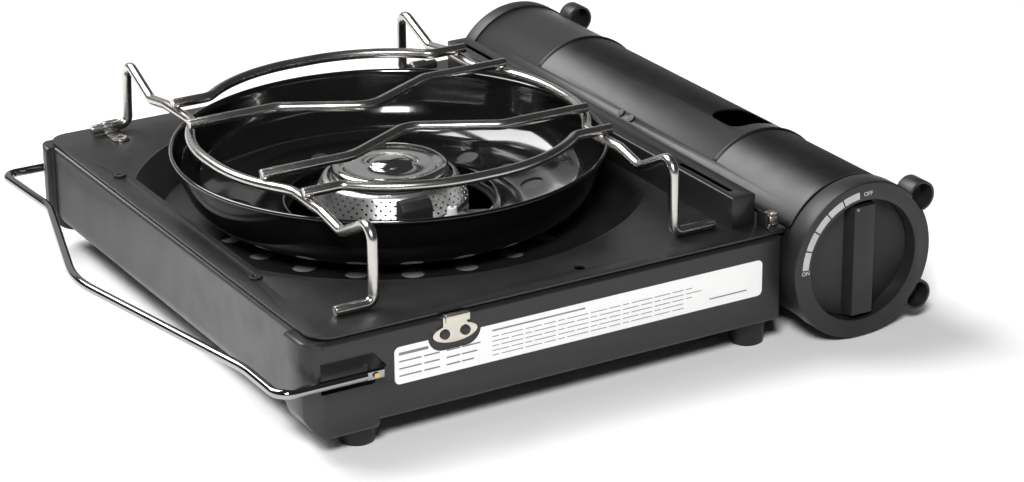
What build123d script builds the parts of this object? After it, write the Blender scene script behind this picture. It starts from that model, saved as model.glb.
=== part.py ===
from build123d import *
import math
import os

# Camping stove with a side cartridge compartment, in millimetres, standing on z = 0.
# +X is right, +Y is back, +Z is up. The knob and the label are on the front (-Y) side.

# Driving dimensions of the body
PLATE_TOP = 67.5
PLATE_LEFT = -163.0
PLATE_RIGHT = 123.0
PLATE_FRONT = -173.5
PLATE_BACK = 170.5
SHEET = 1.2
SEAM = 2.2
CORNER_R = 12.0
SMALL_CORNER_R = 3.0
RIM_OUT = 1.5
CASING_RIGHT = 119.6
CASING_BOTTOM = 15.8
CASING_WALL = 1.5
CASING_TOP = PLATE_TOP - SEAM
SIDE_ROLL = 11.0
WRAP_ROLL = 18.0
FRONT_ROLL = 3.0
TOP_ROLL = 2.4
FLANGE = 4.0

# Corner wraps that stand proud of the left wall, and reach lower to carry the left feet
WRAP_LEFT = -169.0
WRAP_BOTTOM = 11.6
WRAP_LENGTH = 35.0
FRONT_WRAP_END = -150.5
BACK_WRAP_END = 157.0

# Burner, recess and pan
BURNER_X = -25.0
BURNER_Y = 3.0
RECESS_R = 144.0
RECESS_HALF_WIDTH = 121.5
RECESS_DEPTH = 16.7
RECESS_TAPER = 40.0
VENT_COUNT = 20
VENT_RING_R = 96.5
VENT_TURN = 14.7
VENT_R = 6.5
PAN_RIM_R = 121.5
PAN_RIM_Z = PLATE_TOP + 23.0
PAN_HOLE_COUNT = 18
PAN_HOLE_RING_R = 85.0
PAN_HOLE_TURN = 10.0
PAN_HOLE_R = 6.5
PAN_FLOOR_R = 92.0

# Cartridge compartment
GAS_X = 163.7
GAS_Z = 45.9
RING_R = 45.0
WELL_R = 35.0
RING_FRONT = -188.4
RING_BACK = -175.2
SPIGOT_END = -169.0
COVER_FRONT = -171.5
CAP_FRONT = 176.2
CAP_BACK = 188.5
COVER_R = 44.0
COVER_OPEN_LEFT = 150.5
COVER_OPEN_RIGHT = -4.0
LUG_RING_R = 48.5
LUG_ANGLE = 37.0
REAR_LUG_RING_R = 51.3
REAR_LUG_ANGLE = 34.0
LUG_R = 8.7
LUG_HOLE_R = 7.3
LUG_FLOOR = 2.0

# Wire work
WIRE_R = 2.9
ROD_Z = PLATE_TOP + 38.5
SIDE_Z = ROD_Z - 2 * WIRE_R
FRONT_FOOT_Z = PLATE_TOP + WIRE_R + 0.02
REAR_FOOT_Z = PLATE_TOP + 3.85
LEG_X = 92.5
FRONT_RIGHT_LEG_X = 89.0
LEG_Y = 154.5
CLIP_X = 102.8
HANDLE_WIRE_R = 2.5
HANDLE_Z = PLATE_TOP - 23.5
HANDLE_PIVOT_X = -131.6
HANDLE_FRONT = -178.0
HANDLE_BACK = 177.5
HANDLE_TILT = 0.37

FOOT_POINTS = [(-133.0, -158.5), (108.0, -158.5), (-133.0, 155.5), (108.0, 155.5)]
RUNNING = 0.05
HANDLE_RISE = (HANDLE_BACK - HANDLE_FRONT) * math.tan(math.radians(HANDLE_TILT))


def write(part, name):
    """Write one node as a STEP file."""
    os.makedirs("parts", exist_ok=True)
    export_step(part, f"parts/{name}.step")


def block(x0, x1, y0, y1, z0, z1):
    """A box between two corners."""
    solid = Box(x1 - x0, y1 - y0, z1 - z0, align=(Align.MIN, Align.MIN, Align.MIN))
    return Pos(x0, y0, z0) * solid


def rod_z(x, y, z0, z1, radius):
    """An upright cylinder."""
    return Pos(x, y, z0) * Cylinder(radius, z1 - z0, align=(Align.CENTER, Align.CENTER, Align.MIN))


def rod_y(x, z, y0, y1, radius):
    """A cylinder that lies along Y."""
    return Pos(x, (y0 + y1) / 2, z) * Rot(90, 0, 0) * Cylinder(radius, y1 - y0)


def rod_x(y, z, x0, x1, radius):
    """A cylinder that lies along X."""
    return Pos((x0 + x1) / 2, y, z) * Rot(0, 90, 0) * Cylinder(radius, x1 - x0)


def around_burner(count, radius, turn=0.0):
    """Points evenly spaced on a circle about the burner."""
    step = 2 * math.pi / count
    angles = [math.radians(turn) + k * step for k in range(count)]
    return [(BURNER_X + radius * math.cos(a), BURNER_Y + radius * math.sin(a)) for a in angles]


def rounded_block(x0, x1, y0, y1, z0, z1, radius):
    """A box with rounded upright corners."""
    sketch = Pos((x0 + x1) / 2, (y0 + y1) / 2, z0) * RectangleRounded(x1 - x0, y1 - y0, radius)
    return extrude(sketch, amount=z1 - z0)


def outline(x0, x1, y0, y1, corner_radii):
    """A rectangle whose corners are rounded one by one: low left, high left, low right, high right."""
    sketch = Pos((x0 + x1) / 2, (y0 + y1) / 2) * Rectangle(x1 - x0, y1 - y0)
    corners = [(x0, y0), (x0, y1), (x1, y0), (x1, y1)]
    for (x, y), radius in zip(corners, corner_radii):
        if radius:
            corner = sketch.vertices().sort_by_distance((x, y, 0))[0]
            sketch = fillet(corner, radius)
    return sketch


def pressed_box(x0, x1, y0, y1, z0, z1, plan, across, along):
    """A box shaped by its three outlines: corner radii in plan, seen from the front, and seen from the right."""
    solid = extrude(Pos(0, 0, z0) * outline(x0, x1, y0, y1, plan), amount=z1 - z0)
    front_view = Plane(origin=(0, y0 - 1, 0), x_dir=(1, 0, 0), z_dir=(0, -1, 0)) * outline(x0, x1, z0, z1, across)
    solid &= extrude(front_view, amount=y1 - y0 + 2, dir=(0, 1, 0))
    side_view = Plane(origin=(x0 - 1, 0, 0), x_dir=(0, 1, 0), z_dir=(1, 0, 0)) * outline(y0, y1, z0, z1, along)
    return solid & extrude(side_view, amount=x1 - x0 + 2, dir=(1, 0, 0))


def tube_along(path, radius):
    """A round bar along a path."""
    profile = Plane(origin=path @ 0, z_dir=path % 0) * Circle(radius)
    return sweep(profile, path=path)


def turned(points):
    """A solid of revolution about the burner axis, from an outline of (radius, height)."""
    outline = Polyline(*[(r, 0, z) for r, z in points], close=True)
    face = make_face(outline)
    return Pos(BURNER_X, BURNER_Y, 0) * revolve(face, axis=Axis.Z)


def sector(r_in, r_out, y0, y1, deg0, deg1):
    """Part of a shell about the cartridge axis, between two angles measured from +X towards +Z."""
    def at(radius, deg):
        return (radius * math.cos(math.radians(deg)), 0, radius * math.sin(math.radians(deg)))

    middle = (deg0 + deg1) / 2
    outer = ThreePointArc(at(r_out, deg0), at(r_out, middle), at(r_out, deg1))
    inner = ThreePointArc(at(r_in, deg1), at(r_in, middle), at(r_in, deg0))
    sides = [Line(at(r_out, deg1), at(r_in, deg1)), Line(at(r_in, deg0), at(r_out, deg0))]
    face = make_face([outer, sides[0], inner, sides[1]])
    solid = extrude(face, amount=y1 - y0, dir=(0, 1, 0))
    return Pos(GAS_X, y0, GAS_Z) * solid


# Casing and top plate

POCKET_DEPTH = 4.6


def handle_pocket(side, grow):
    """The long hollow pressed into the front (-1) or back (+1) wall for a handle arm."""
    wall_y = PLATE_FRONT - RIM_OUT if side < 0 else PLATE_BACK + RIM_OUT
    depth = POCKET_DEPTH + grow
    y0, y1 = (wall_y - 1, wall_y + depth) if side < 0 else (wall_y - depth, wall_y + 1)
    x0, x1 = HANDLE_PIVOT_X - 28.9 - grow, HANDLE_PIVOT_X + 8.1 + grow
    base = HANDLE_Z if side < 0 else HANDLE_Z + HANDLE_RISE
    low, high = base - 6.5 - grow, base + 10.5 + grow
    point = 7.5
    corners = [(x0, low), (x1 - point, low), (x1, (low + high) / 2), (x1 - point, high), (x0, high)]
    face = make_face(Polyline(*[(x, y0, z) for x, z in corners], close=True))
    return extrude(face, amount=y1 - y0, dir=(0, 1, 0))


def casing_body(inset=0.0):
    """The casing's plain body, or the hollow inside it."""
    x0, x1 = PLATE_LEFT - RIM_OUT + inset, CASING_RIGHT - inset
    y0, y1 = PLATE_FRONT - RIM_OUT + inset, PLATE_BACK + RIM_OUT - inset
    side, front, roll, big = SIDE_ROLL - inset, FRONT_ROLL - inset, TOP_ROLL - inset, CORNER_R - inset
    plan = [big, big, SMALL_CORNER_R - inset, SMALL_CORNER_R - inset]
    across, along = [side, roll, front, roll], [front, roll, front, roll]
    return pressed_box(x0, x1, y0, y1, CASING_BOTTOM + inset, CASING_TOP - inset, plan, across, along)


def corner_wraps():
    """The two proud corners on the left, which also carry the left feet."""
    right = PLATE_LEFT + WRAP_LENGTH
    across = [WRAP_ROLL, TOP_ROLL, FRONT_ROLL, 0]
    front = pressed_box(
        WRAP_LEFT, right, PLATE_FRONT - RIM_OUT, FRONT_WRAP_END, WRAP_BOTTOM, CASING_TOP,
        [CORNER_R, 0, 0, 0], across, [FRONT_ROLL, TOP_ROLL, 0, 0],
    )
    back = pressed_box(
        WRAP_LEFT, right, BACK_WRAP_END, PLATE_BACK + RIM_OUT, WRAP_BOTTOM, CASING_TOP,
        [0, CORNER_R, 0, 0], across, [0, 0, FRONT_ROLL, TOP_ROLL],
    )
    return front + back


def casing():
    whole = casing_body() + corner_wraps()
    shell = whole - casing_body(CASING_WALL)
    x0, y0, y1 = PLATE_LEFT - RIM_OUT, PLATE_FRONT - RIM_OUT, PLATE_BACK + RIM_OUT
    mouth = CASING_TOP - 2 * CASING_WALL
    shell -= rounded_block(
        x0 + FLANGE, CASING_RIGHT - FLANGE, y0 + FLANGE, y1 - FLANGE, mouth, PLATE_TOP, CORNER_R - FLANGE
    )
    for side in (-1, 1):
        shell += handle_pocket(side, CASING_WALL) & whole
        shell -= handle_pocket(side, 0)
    for x, y in FOOT_POINTS:
        shell -= rod_z(x, y, WRAP_BOTTOM - 10, CASING_BOTTOM + 12, 2.2)
    shell -= rod_x(-150, 40, CASING_RIGHT - 5, CASING_RIGHT + 5, 3.2)
    return shell - rivet_holes()


def recess_sketch(grow):
    disc = Circle(RECESS_R + grow)
    return disc & Rectangle(2 * (RECESS_HALF_WIDTH + grow), 2 * (RECESS_R + grow))


def recess_solid(grow, depth):
    sketch = Pos(BURNER_X, BURNER_Y, PLATE_TOP) * recess_sketch(grow)
    return extrude(sketch, amount=-depth, taper=RECESS_TAPER)


def plate_corner_radii(inset=0.0):
    return [CORNER_R - inset] * 2 + [SMALL_CORNER_R - inset] * 2


def top_plate():
    """The flat of the top sheet, pierced for the recess."""
    sketch = outline(PLATE_LEFT, PLATE_RIGHT, PLATE_FRONT, PLATE_BACK, plate_corner_radii())
    plate = extrude(Pos(0, 0, PLATE_TOP - SHEET) * sketch, amount=SHEET)
    plate -= recess_solid(1.6, RECESS_DEPTH + SHEET)
    plate -= rod_z(-0.6, -161, PLATE_TOP - 5, PLATE_TOP + 1, 3)
    for x, y in screw_points():
        plate -= rod_z(x, y, PLATE_TOP - 5, PLATE_TOP + 1, 1.8)
    return plate


def plate_skirt():
    """The lip folded down behind the sheet's edge."""
    lip_in = 4.8
    low, high = PLATE_TOP - 9, PLATE_TOP - SHEET
    x0, x1 = PLATE_LEFT + lip_in, CASING_RIGHT - lip_in
    y0, y1 = PLATE_FRONT + lip_in, PLATE_BACK - lip_in
    lip = rounded_block(x0, x1, y0, y1, low, high, CORNER_R - lip_in)
    inner_r = CORNER_R - lip_in - SHEET
    return lip - rounded_block(x0 + SHEET, x1 - SHEET, y0 + SHEET, y1 - SHEET, low - 1, high + 1, inner_r)


def recess():
    """The pressed recess: a sloping wall and a flat floor with vents round the burner."""
    dish = recess_solid(1.6, RECESS_DEPTH + SHEET) - recess_solid(0, RECESS_DEPTH)
    dish -= rod_z(BURNER_X, BURNER_Y, PLATE_TOP - 30, PLATE_TOP, 58)
    for x, y in around_burner(VENT_COUNT, VENT_RING_R, VENT_TURN):
        dish -= rod_z(x, y, PLATE_TOP - 30, PLATE_TOP - 10, VENT_R)
    return dish


def recess_floor():
    return recess() & block(-200, 200, -200, 200, PLATE_TOP - 30, PLATE_TOP - RECESS_DEPTH)


def recess_wall():
    return recess() - block(-200, 200, -200, 200, PLATE_TOP - 30, PLATE_TOP - RECESS_DEPTH)


def screw_points():
    return [(PLATE_LEFT + 11, BURNER_Y + 86), (PLATE_LEFT + 11, BURNER_Y - 88)]


def plate_screws():
    group = []
    for x, y in screw_points():
        head = Pos(x, y, PLATE_TOP + 0.55) * Cylinder(3.6, 1.1)
        head -= Pos(x, y, PLATE_TOP + 1.1) * Box(4.2, 0.9, 0.9)
        head -= Pos(x, y, PLATE_TOP + 1.1) * Box(0.9, 4.2, 0.9)
        group.append(head + rod_z(x, y, PLATE_TOP - 6, PLATE_TOP, 1.75))
    return Compound(children=group)


def casing_underside(x):
    return WRAP_BOTTOM if x < 0 else CASING_BOTTOM


def rubber_feet():
    group = []
    for x, y in FOOT_POINTS:
        height = casing_underside(x)
        foot = Pos(x, y, height / 2) * Cone(9.2, 10.4, height)
        foot = fillet(foot.faces().sort_by(Axis.Z)[0].edges(), 1.2)
        foot -= rod_z(x, y, -1, height + 1, 1.9)
        foot -= rod_z(x, y, -1, 4.5, 4.5)
        group.append(foot)
    return Compound(children=group)


def foot_screws():
    group = []
    for x, y in FOOT_POINTS:
        head = rod_z(x, y, 2.4, 4.5, 4.0)
        group.append(head + rod_z(x, y, 4.5, casing_underside(x) + 8, 1.85))
    return Compound(children=group)


# Pan and burner

def drip_pan():
    """The whole pan: rim, sloping wall, floor ring with holes, and the collar round the burner."""
    base = PLATE_TOP - RECESS_DEPTH
    outside = [
        (PAN_RIM_R, PAN_RIM_Z), (117.5, PLATE_TOP + 8), (107.0, PLATE_TOP - 5.5), (PAN_FLOOR_R, PLATE_TOP - 12.2),
        (76.0, base), (59.5, base), (59.5, PLATE_TOP - 9),
    ]
    inside = [(r - 0.6 if r > 60 else r + 1.1, z + 1.1) for r, z in reversed(outside[1:-1])]
    inside = [(60.6, PLATE_TOP - 9)] + inside + [(PAN_RIM_R - 1.2, PAN_RIM_Z)]
    pan = turned(outside + inside)
    pan += Pos(BURNER_X, BURNER_Y, PAN_RIM_Z) * Torus(PAN_RIM_R - 0.3, 1.1)
    for x, y in around_burner(PAN_HOLE_COUNT, PAN_HOLE_RING_R, PAN_HOLE_TURN):
        pan -= rod_z(x, y, PLATE_TOP - 30, PLATE_TOP + 5, PAN_HOLE_R)
    return pan


def drip_pan_floor():
    return drip_pan() & rod_z(BURNER_X, BURNER_Y, 0, PLATE_TOP + 40, PAN_FLOOR_R)


def drip_pan_wall():
    return drip_pan() - rod_z(BURNER_X, BURNER_Y, 0, PLATE_TOP + 40, PAN_FLOOR_R)


def burner_body():
    body = turned([
        (0, 24), (24, 24), (34, 34), (36, 44), (36, PLATE_TOP + 1), (33, PLATE_TOP + 3.8),
        (28, PLATE_TOP + 3.8), (31, PLATE_TOP - 2), (31, 42), (22, 29), (0, 29),
    ])
    boss = mixing_axis(30, 42, 13)
    core = rod_z(BURNER_X, BURNER_Y, 20, 60, 33)
    body += boss - core
    body -= mixing_axis(20, 60, 9.5)
    return body


MIX_ANGLE = -27.0
MIX_Z = 39.5


def mixing_axis(start, end, radius):
    """A bar from the burner axis outward along the mixing tube's line, between two distances."""
    bar = Pos((start + end) / 2, 0, 0) * Rot(0, 90, 0) * Cylinder(radius, end - start)
    return Pos(BURNER_X, BURNER_Y, MIX_Z) * Rot(0, 0, MIX_ANGLE) * bar


def mixing_tube():
    tube = mixing_axis(42, 112, 8.6) - mixing_axis(41, 113, 7.2)
    flange = mixing_axis(42, 44, 12.5) - mixing_axis(41, 45, 7.2)
    mouth = mixing_axis(100, 116, 9.6) - mixing_axis(99, 113, 8.6)
    mouth -= mixing_axis(110, 118, 4.0)
    return tube + flange + mouth


def gas_nozzle():
    body = mixing_axis(109, 116, 3.95) + mixing_axis(116, 126, 6.0)
    return body - mixing_axis(108, 127, 1.2)


def nozzle_end(distance):
    a = math.radians(MIX_ANGLE)
    return (BURNER_X + distance * math.cos(a), BURNER_Y + distance * math.sin(a), MIX_Z)


def gas_pipe():
    start = nozzle_end(126.02)
    near = nozzle_end(142)
    path = FilletPolyline(
        start, near, (108, -90, 40), (108, -150, 40), (GAS_X - 27, -150, 40), radius=[7, 9, 9]
    )
    return tube_along(path, 2.6)


def burner_band():
    """The perforated flame ring around the burner head."""
    band = turned([
        (42.5, PLATE_TOP - 12), (42.5, PLATE_TOP - 9), (38.8, PLATE_TOP + 3.4), (36.2, PLATE_TOP + 5),
        (36.2, PLATE_TOP + 4), (37.8, PLATE_TOP + 2.6), (41.4, PLATE_TOP - 9.4), (41.4, PLATE_TOP - 12),
    ])
    collar = turned([
        (36.1, PLATE_TOP - 13), (42.5, PLATE_TOP - 13), (42.5, PLATE_TOP - 12), (36.1, PLATE_TOP - 12),
    ])
    return band + collar


def burner_cap():
    return turned([
        (0, PLATE_TOP + 3.9), (31.5, PLATE_TOP + 3.9), (32.5, PLATE_TOP + 5.5), (32, PLATE_TOP + 8.6),
        (28, PLATE_TOP + 10.2), (16, PLATE_TOP + 10.2), (9, PLATE_TOP + 12.6), (0, PLATE_TOP + 13.4),
    ])


ELECTRODE = (BURNER_X + 10.4, BURNER_Y - 52.5)
PLUG_TOP = PLATE_TOP - 0.5


def electrode_ceramic():
    x, y = ELECTRODE
    base = rod_z(x, y, 44, PLUG_TOP - 11, 4.4)
    collar = rod_z(x, y, PLUG_TOP - 11, PLUG_TOP - 6, 5.0)
    tip = Pos(x, y, PLUG_TOP - 3) * Cone(3.4, 2.5, 6)
    return base + collar + tip - rod_z(x, y, 43, PLUG_TOP + 1, 0.9)


def electrode_wire():
    x, y = ELECTRODE
    return rod_z(x, y, 46, PLUG_TOP + 0.6, 0.9)


def electrode_bracket():
    x, y = ELECTRODE
    plate = block(x - 6.4, x + 10.5, y - 2.5, y + 5.5, PLATE_TOP - 14.2, PLATE_TOP - 13)
    tab = block(x + 5.5, x + 10.5, y - 2.5, y + 5.5, PLATE_TOP - 13, PLATE_TOP - 7)
    return plate + tab - rod_z(x, y, 44, PLATE_TOP, 4.4)


def electrode_guard():
    """A folded shield in front of the flame ring, with its top sloping back to the ring."""
    y0, y1 = BURNER_Y - 52.5, BURNER_Y - 43.9
    base, top = PLATE_TOP - 12, PLATE_TOP + 6.4
    side = [(y0, base), (y1, base), (y1, top), (y0 + 3, top), (y0, PLATE_TOP + 2)]
    face = make_face(Polyline(*[(BURNER_X - 20, y, z) for y, z in side], close=True))
    return extrude(face, amount=18.5, dir=(1, 0, 0))


def piezo_igniter():
    body = block(92, 104, -168, -130, 20, 34)
    return body + rod_y(98, 27, -130, -124, 4)


def igniter_lead():
    x, y = ELECTRODE
    path = FilletPolyline(
        (98, -124, 27), (98, -104, 27), (60, -84, 23), (20, -76, 23), (x, -62, 26), (x, y, 30), (x, y, 44),
        radius=[12, 14, 14, 12, 8],
    )
    return tube_along(path, 1.4)


# Cartridge compartment

def cartridge_tray():
    tray = sector(COVER_R - SHEET, COVER_R, RING_BACK + 0.1, CAP_FRONT - 0.1, COVER_OPEN_LEFT + 2, 354.5)
    return tray - rod_x(-150, 40, 100, 130, 3.2) - rivet_holes()


def tray_rivets():
    """Rivets that join the tray to the casing's right wall."""
    group = []
    for y in (-110, -20, 70, 150):
        shank = rod_x(y, GAS_Z, CASING_RIGHT - CASING_WALL, GAS_X - COVER_R + SHEET + 0.4, 2)
        inner = rod_x(y, GAS_Z, CASING_RIGHT - CASING_WALL - 1.2, CASING_RIGHT - CASING_WALL, 3.6)
        outer = rod_x(y, GAS_Z, GAS_X - COVER_R + SHEET + 0.4, GAS_X - COVER_R + SHEET + 1.4, 3.4)
        group.append(shank + inner + outer)
    return Compound(children=group)


def rivet_holes():
    holes = rod_x(-110, GAS_Z, CASING_RIGHT - 3, CASING_RIGHT + 4, 2)
    for y in (-20, 70, 150):
        holes += rod_x(y, GAS_Z, CASING_RIGHT - 3, CASING_RIGHT + 4, 2)
    return holes


def cartridge_seat():
    seat = rod_y(GAS_X, GAS_Z, -134, -130.5, 34) - rod_y(GAS_X, GAS_Z, -135, -130, 12)
    rim = rod_y(GAS_X, GAS_Z, -134, -126, 36.5) - rod_y(GAS_X, GAS_Z, -135, -125, 34.6)
    lower = block(GAS_X - 40, GAS_X + 40, -136, -120, GAS_Z - 45, GAS_Z - 8)
    return seat + (rim & lower) + block(GAS_X - 8, GAS_X + 8, -134, -130.5, GAS_Z - 41.9, GAS_Z - 33)


def governor():
    body = rod_y(GAS_X, GAS_Z, -168, -140, 26) + rod_y(GAS_X, GAS_Z, -140, -134.05, 11.5)
    body += rod_x(-150, 40, GAS_X - 27, GAS_X - 20, 5)
    body -= rod_y(GAS_X, GAS_Z, -175, -148, 4.0 + RUNNING)
    foot = block(GAS_X - 10, GAS_X + 10, -166, -150, GAS_Z - 41.4, GAS_Z - 24)
    return body + foot


def cartridge_stop():
    stop = rod_y(GAS_X, GAS_Z, 84, 86, COVER_R - SHEET - 0.6)
    stop -= block(GAS_X - 60, GAS_X + 60, 80, 90, GAS_Z + 8, GAS_Z + 60)
    return stop - rod_y(GAS_X, GAS_Z - 14, 80, 90, 9)


def lug_bars(ring_r, angle, y0, y1, radius):
    """Upper and lower bars for the hollow lugs on the right side, on which the stove can be stood."""
    bars = []
    for deg in (angle, -angle):
        a = math.radians(deg)
        bars.append(rod_y(GAS_X + ring_r * math.cos(a), GAS_Z + ring_r * math.sin(a), y0, y1, radius))
    return bars[0] + bars[1]


def front_ring():
    ring = rod_y(GAS_X, GAS_Z, RING_FRONT, RING_BACK, RING_R)
    ring = fillet(ring.faces().sort_by(Axis.Y)[0].edges(), 0.8)
    hollows = lug_bars(LUG_RING_R, LUG_ANGLE, RING_FRONT, RING_BACK - LUG_FLOOR, LUG_HOLE_R)
    hollows -= rod_y(GAS_X, GAS_Z, RING_FRONT - 1, RING_BACK + 2, RING_R - 1.6)
    ring += lug_bars(LUG_RING_R, LUG_ANGLE, RING_FRONT + 1, RING_BACK, LUG_R)
    ring -= hollows
    ring -= rod_y(GAS_X, GAS_Z, RING_FRONT - 1, RING_FRONT + 11.5, WELL_R)
    spigot = rod_y(GAS_X, GAS_Z, RING_BACK, SPIGOT_END, 42.5)
    ring += spigot - rod_y(GAS_X, GAS_Z, RING_BACK, SPIGOT_END + 1, 40.6)
    return ring - rod_y(GAS_X, GAS_Z, RING_FRONT, RING_BACK + 1, 4.0 + RUNNING)


def rear_cap():
    cap = rod_y(GAS_X, GAS_Z, CAP_FRONT, CAP_BACK, RING_R)
    cap = fillet(cap.faces().sort_by(Axis.Y)[-1].edges(), 3.0)
    hollows = lug_bars(REAR_LUG_RING_R, REAR_LUG_ANGLE, CAP_FRONT - 1, CAP_BACK - 1 - LUG_FLOOR, LUG_HOLE_R)
    hollows -= rod_y(GAS_X, GAS_Z, CAP_FRONT - 2, CAP_BACK + 1, RING_R - 1.6)
    cap += lug_bars(REAR_LUG_RING_R, REAR_LUG_ANGLE, CAP_FRONT, CAP_BACK - 1, LUG_R)
    cap -= hollows
    return cap - rod_y(GAS_X, GAS_Z, CAP_FRONT - 1, CAP_BACK - 3, RING_R - 4)


def dial_segments():
    group = []
    span, gap = 16.4, 1.3
    for k in range(5):
        start = 96 + k * span
        segment = sector(36.6, 40.6, RING_FRONT - 0.15, RING_FRONT - 0.01, start, start + span - gap)
        group.append(segment)
    return Compound(children=group)


RAIL_TOP = PLATE_TOP + 18.0
RAIL_LEFT = BURNER_X + RECESS_HALF_WIDTH + 0.7
RAIL_RIGHT = RAIL_LEFT + 15.0
RAIL_FRONT = PLATE_FRONT + 15.0
RAIL_BACK = PLATE_BACK - 15.5
SLOT_HALF_WIDTH = 1.6


def partition_rail():
    """A folded channel with two long slots, between the burner and the cartridge compartment."""
    wall = SHEET
    rail = block(RAIL_LEFT, RAIL_RIGHT, RAIL_FRONT, RAIL_BACK, PLATE_TOP, RAIL_TOP)
    rail = fillet(rail.edges().filter_by(Axis.Y).sort_by(Axis.Z)[-2:], 1.0)
    rail -= block(
        RAIL_LEFT + wall, RAIL_RIGHT - wall, RAIL_FRONT + wall, RAIL_BACK - wall, PLATE_TOP - 1, RAIL_TOP - wall
    )
    middle = (RAIL_LEFT + RAIL_RIGHT) / 2 - 1.5
    for start, end in ((RAIL_FRONT + 10, RAIL_FRONT + 60), (RAIL_BACK - 52, RAIL_BACK - 8)):
        rail -= block(middle - SLOT_HALF_WIDTH, middle + SLOT_HALF_WIDTH, start, end, RAIL_TOP - 3, RAIL_TOP + 1)
    return rail


EARTH_SCREW = (118.6, -163.6)


def earth_bracket():
    """A small angle, flat on the plate's corner, with an upright behind the screw."""
    x, y = EARTH_SCREW
    base = block(x - 5.6, x + 4.2, y - 9.4, y + 4.9, PLATE_TOP, PLATE_TOP + 1)
    upright = block(x - 5.6, x - 4.6, y - 4.4, y + 4.9, PLATE_TOP + 1, PLATE_TOP + 9)
    return base + upright - rod_z(x, y, PLATE_TOP - 1, PLATE_TOP + 2, 2.1)


def bracket_screw():
    x, y = EARTH_SCREW
    washer = rod_z(x, y, PLATE_TOP + 1, PLATE_TOP + 2.2, 4.4)
    head = extrude(Pos(x, y, PLATE_TOP + 2.2) * RegularPolygon(4.7, 6), amount=4.8)
    head &= Pos(x, y, PLATE_TOP + 2.2) * Sphere(6.0)
    head -= Pos(x, y, PLATE_TOP + 7) * Box(5.4, 1.1, 2.8)
    head -= Pos(x, y, PLATE_TOP + 7) * Box(1.1, 5.4, 2.8)
    return washer + head + rod_z(x, y, PLATE_TOP, PLATE_TOP + 1.2, 2.0)


CATCH_X = -84.0
CATCH_Z = 55.3
CATCH_HOLE_SPAN = 6.0


def label_plate():
    wall_y = PLATE_FRONT - RIM_OUT
    sketch = Pos(-6.5, 0, 43.8) * Rot(90, 0, 0) * RectangleRounded(225, 20.6, 3)
    plate = Pos(0, wall_y, 0) * extrude(sketch, amount=0.3)
    notch = Pos(CATCH_X, wall_y + 1, CATCH_Z) * Rot(90, 0, 0) * RectangleRounded(31, 18, 8.9)
    return plate - extrude(notch, amount=3)


def catch_plate():
    """An oval plate with two rivet holes, and a hook folded forward above it."""
    wall_y = PLATE_FRONT - RIM_OUT
    sketch = Pos(CATCH_X, 0, CATCH_Z) * Rot(90, 0, 0) * Ellipse(13, 5.2)
    base = Pos(0, wall_y, 0) * extrude(sketch, amount=1.0)
    x0, x1 = CATCH_X - 7, CATCH_X + 7
    low, top, front = CATCH_Z + 1.5, CATCH_Z + 11, wall_y - 4.2
    hook = block(x0, x1, wall_y - 1, wall_y, low, top) + block(x0, x1, front, wall_y, top - 1, top)
    hook += block(x0, x1, front, front + 1, top - 4.2, top)
    return base + hook - catch_holes(2.0)


def catch_holes(radius):
    wall_y = PLATE_FRONT - RIM_OUT
    left = rod_y(CATCH_X - CATCH_HOLE_SPAN, CATCH_Z, wall_y - 3, wall_y, radius)
    return left + rod_y(CATCH_X + CATCH_HOLE_SPAN, CATCH_Z, wall_y - 3, wall_y, radius)


def catch_rivets():
    wall_y = PLATE_FRONT - RIM_OUT
    face = wall_y - 1.0
    group = []
    for x in (CATCH_X - CATCH_HOLE_SPAN, CATCH_X + CATCH_HOLE_SPAN):
        group.append(rod_y(x, CATCH_Z, face, wall_y, 1.95) + rod_y(x, CATCH_Z, face - 0.8, face, 2.7))
    return Compound(children=group)


# Trivet and its clips

def trivet_side(sign):
    """One side wire: rear foot, leg, dip, bowed middle, dip, leg, front foot."""
    def at(x, y, z):
        return (BURNER_X + sign * x, BURNER_Y + y, z)

    foot_x, bow = 115.0, 110.0
    front_leg = LEG_X if sign < 0 else FRONT_RIGHT_LEG_X
    leg_top, dip = PLATE_TOP + 47.1, PLATE_TOP + 28.5
    points = [
        at(foot_x, -LEG_Y, FRONT_FOOT_Z), at(front_leg, -LEG_Y, FRONT_FOOT_Z), at(front_leg, -LEG_Y, leg_top),
        at(91, -118, dip), at(91.5, -97, SIDE_Z), at(91.2, -61.5, SIDE_Z), at(bow, -33.6, SIDE_Z),
        at(bow, 33.6, SIDE_Z), at(91.2, 61.5, SIDE_Z), at(91.5, 97, SIDE_Z), at(91.5, 118, dip + 1),
        at(LEG_X - 1.5, LEG_Y - 1.5, leg_top - 3.4), at(LEG_X - 0.8, LEG_Y, REAR_FOOT_Z),
        at(foot_x, LEG_Y, REAR_FOOT_Z),
    ]
    radii = [5, 7, 9, 12, 18, 95, 95, 18, 12, 9, 7, 5]
    return tube_along(FilletPolyline(*points, radius=radii), WIRE_R)


def bowed_rod(sign):
    """The front (-1) or back (+1) rod, bowed outward about the burner."""
    points = [(-95, 81.5), (-72, 81.5), (-41.2, 109), (41.2, 109), (72, 81.5), (95, 81.5)]
    points = [(BURNER_X + x, BURNER_Y + sign * y, ROD_Z) for x, y in points]
    return tube_along(FilletPolyline(*points, radius=[10, 94, 94, 10]), WIRE_R)


def bent_rod(sign):
    """A middle rod, bent in a shallow V towards the burner."""
    points = [(-101.5, 45.5), (-47, 45.5), (0, 20), (47, 45.5), (101.5, 45.5)]
    points = [(BURNER_X + x, BURNER_Y + sign * y, ROD_Z) for x, y in points]
    return tube_along(FilletPolyline(*points, radius=[12, 16, 12]), WIRE_R)


CLIP_TAB_IN = 13.8
CLIP_TAB_R = 5.4


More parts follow.
